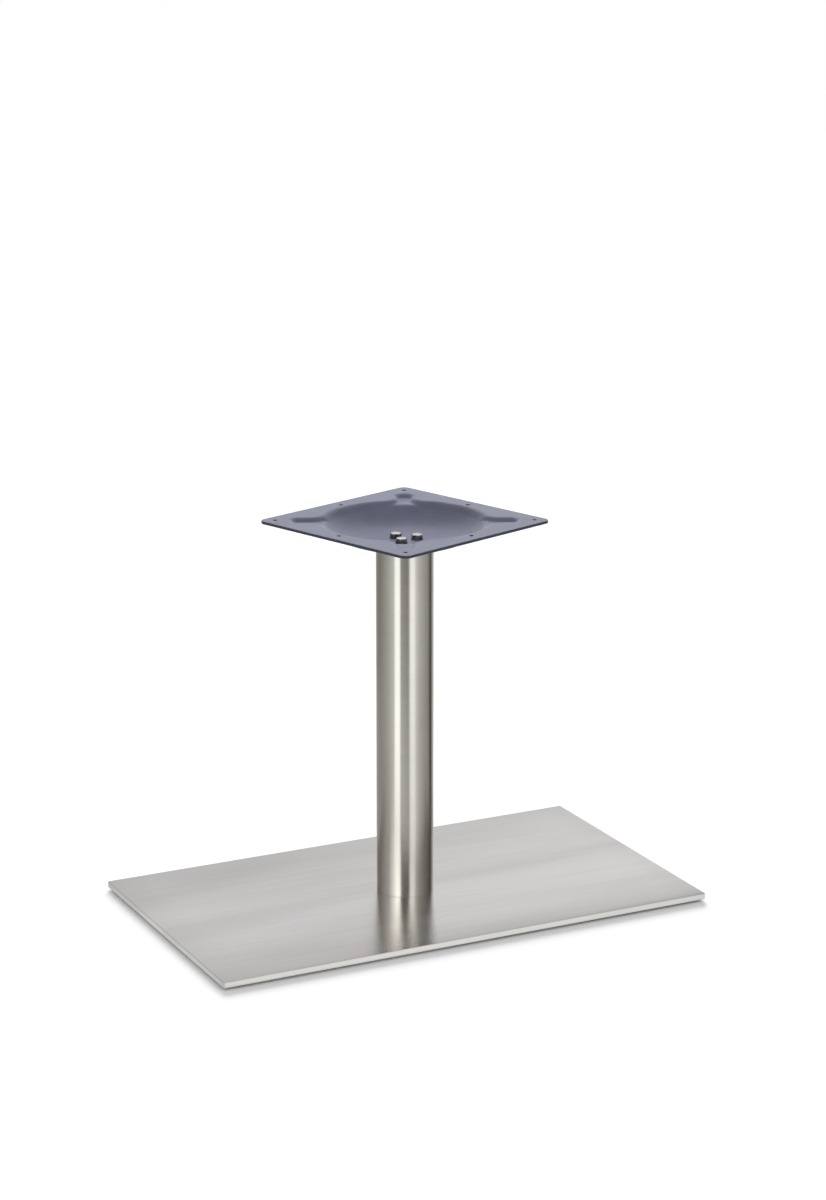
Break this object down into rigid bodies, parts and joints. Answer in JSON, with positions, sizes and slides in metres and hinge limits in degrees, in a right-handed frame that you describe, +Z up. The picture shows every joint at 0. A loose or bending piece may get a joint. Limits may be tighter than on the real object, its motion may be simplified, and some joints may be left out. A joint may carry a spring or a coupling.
{
  "type": "pedestal table base",
  "caption": "Low pedestal table base: flat rectangular brushed steel plate, round tube column and a square dished top plate with screw holes.",
  "frame": {"origin": "on the floor under the tube's axis, the centre of the bounding box's bottom", "axes": "+X along the base plate's long side, +Y along its short side, +Z up to the top plate"},
  "size_m": [0.7, 0.4, 0.52],
  "materials": {
    "brushed_steel": "fine brushing along the plate and round the tube, satin",
    "dark_paint": "semi-gloss dark blue-grey coating",
    "zinc_plating": "bright zinc plating",
    "plain_steel": "turned mild steel, bare",
    "glide_nylon": "matt black nylon"
  },
  "bodies": {
    "root": {"base_plate": "brushed_steel", "column_tube": "brushed_steel", "foot_disc": "plain_steel", "head_disc": "plain_steel", "top_plate": "dark_paint", "glide_1": "glide_nylon", "glide_2": "glide_nylon", "glide_3": "glide_nylon", "glide_4": "glide_nylon", "base_screw_1": "zinc_plating", "base_screw_2": "zinc_plating", "base_screw_3": "zinc_plating", "base_screw_4": "zinc_plating", "top_bolt_1": "zinc_plating", "top_washer_1": "zinc_plating", "top_bolt_2": "zinc_plating", "top_washer_2": "zinc_plating", "top_bolt_3": "zinc_plating", "top_washer_3": "zinc_plating"}
  },
  "joints": []
}
